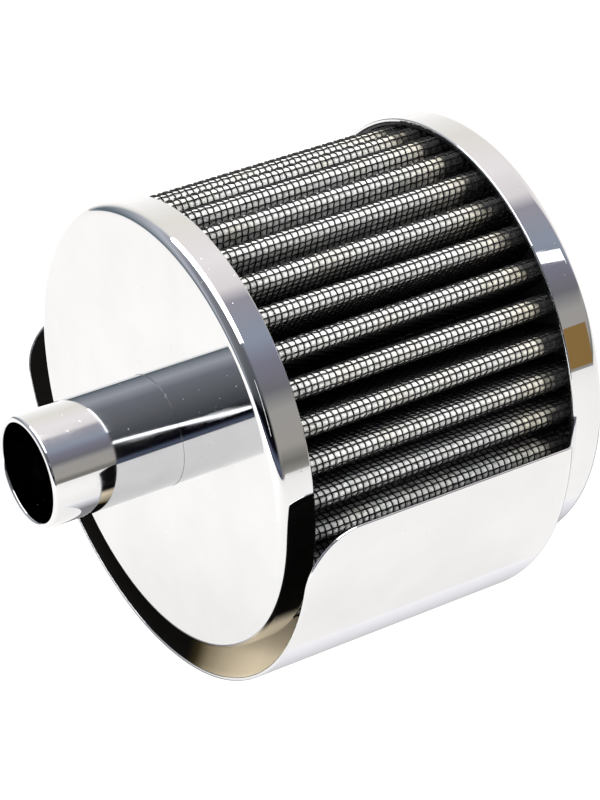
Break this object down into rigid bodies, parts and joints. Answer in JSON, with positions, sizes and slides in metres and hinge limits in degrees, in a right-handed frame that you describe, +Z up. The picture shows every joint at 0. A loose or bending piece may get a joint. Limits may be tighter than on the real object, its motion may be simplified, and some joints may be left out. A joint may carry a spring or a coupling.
{
  "type": "hooded crankcase breather filter",
  "caption": "Round push-in crankcase breather filter with a chromed neck and end caps, a pleated gauze pack under black wire mesh, and a half-round splash hood.",
  "frame": {"origin": "on the neck's axis, in the plane of the front end cap's flat seating face", "axes": "the neck's axis is Y and its open end points to -Y; the filter body lies towards +Y; the hood covers the lower half, centred on -Z; +Z is up"},
  "size_m": [0.092, 0.0873, 0.0811],
  "materials": {
    "neck_chrome": "polished plating on steel tube",
    "cap_chrome": "mirror plating on drawn sheet steel",
    "hood_chrome": "mirror plating on drawn sheet steel",
    "zinc_steel": "zinc plated",
    "bright_steel": "bright rolled",
    "core_steel": "tinned, perforated",
    "braze": "as run",
    "potting": "cast black polyurethane",
    "black_mesh": "black epoxy-coated woven wire",
    "cotton_gauze": "off-white oiled cotton gauze"
  },
  "bodies": {
    "root": {"neck_tube": "neck_chrome", "neck_backing_washer": "zinc_steel", "neck_braze_fillet": "braze", "front_end_cap": "cap_chrome", "splash_baffle": "bright_steel", "baffle_straps": "bright_steel", "front_potting_ring": "potting", "support_core": "core_steel", "pack_seam_clip": "bright_steel", "rear_potting_ring": "potting", "hood_cap": "hood_chrome", "outer_wire_screen": "black_mesh", "gauze_layer_1": "cotton_gauze", "gauze_layer_2": "cotton_gauze", "gauze_layer_3": "cotton_gauze", "gauze_layer_4": "cotton_gauze", "inner_wire_screen": "black_mesh"}
  },
  "joints": []
}
